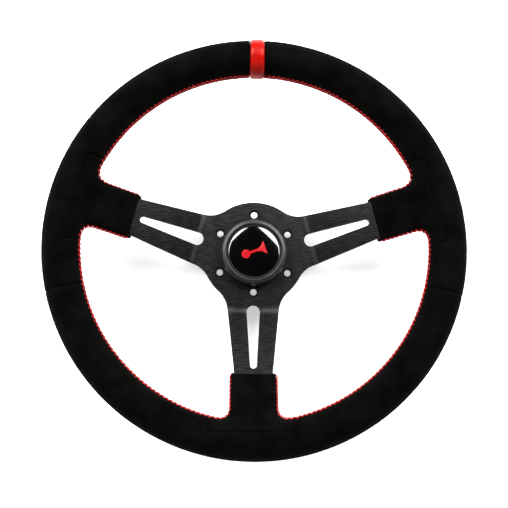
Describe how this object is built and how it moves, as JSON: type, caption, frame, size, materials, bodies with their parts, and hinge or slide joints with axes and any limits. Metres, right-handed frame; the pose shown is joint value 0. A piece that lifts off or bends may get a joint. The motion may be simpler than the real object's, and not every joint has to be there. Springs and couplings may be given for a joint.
{
  "type": "steering wheel",
  "caption": "Dished three-spoke motorsport steering wheel with suede grip, red centre band, slotted spokes and a push horn button.",
  "frame": {"origin": "on the wheel's axis, in the plane of the horn housing's rear edge, which the wheel stands on when it lies on its back", "axes": "+Z along the axis towards the driver, +Y towards the twelve o'clock band, +X to the driver's right"},
  "size_m": [0.35, 0.3509, 0.0944],
  "materials": {
    "anodised_black": "black anodised, fine horizontal brushing, satin",
    "core_steel": "bright zinc plated",
    "grip_foam": "self-skinned polyurethane foam, matt",
    "suede_black": "black suede, short brushed nap",
    "leather_red": "smooth red leather, semi-gloss",
    "thread_red": "twisted polyester thread, cross stitched",
    "housing_plastic": "fine matt moulded plastic",
    "seal_rubber": "matt rubber",
    "base_phenolic": "brown phenolic board",
    "contact_brass": "bright stamped brass",
    "spring_steel": "plain spring steel",
    "emblem_black": "gloss black domed resin",
    "enamel_red": "gloss red enamel inlay"
  },
  "bodies": {
    "wheel": {"spoke_plate": "anodised_black", "core_ring": "core_steel", "grip_foam": "grip_foam", "cover_left": "suede_black", "cover_right": "suede_black", "cover_bottom": "suede_black", "centre_band": "leather_red", "sleeve_right": "suede_black", "sleeve_left": "suede_black", "sleeve_bottom": "suede_black", "rivet_right_1": "core_steel", "rivet_right_2": "core_steel", "rivet_left_1": "core_steel", "rivet_left_2": "core_steel", "rivet_bottom_1": "core_steel", "rivet_bottom_2": "core_steel", "stitching_top_right": "thread_red", "stitching_top_left": "thread_red", "stitching_left": "thread_red", "stitching_right": "thread_red", "horn_housing": "housing_plastic", "bezel_seal": "seal_rubber", "terminal_base": "base_phenolic", "fixed_contact": "contact_brass", "contact_spring": "spring_steel", "terminal_fixed": "contact_brass", "terminal_spring": "contact_brass", "base_screw_1": "spring_steel", "base_screw_2": "spring_steel", "base_screw_3": "spring_steel", "retaining_clip_1": "spring_steel", "retaining_clip_2": "spring_steel", "retaining_clip_3": "spring_steel"},
    "horn_push": {"horn_cap": "housing_plastic", "emblem_dome": "emblem_black", "horn_symbol": "enamel_red", "moving_contact": "contact_brass"}
  },
  "joints": [
    {"name": "horn_press", "type": "slide", "parent": "wheel", "child": "horn_push", "axis": [0, 0, 1], "range_m": [-0.002, 0], "stiffness_N_per_m": 2500, "springref_m": 0.003, "deforming": ["contact_spring"]}
  ]
}
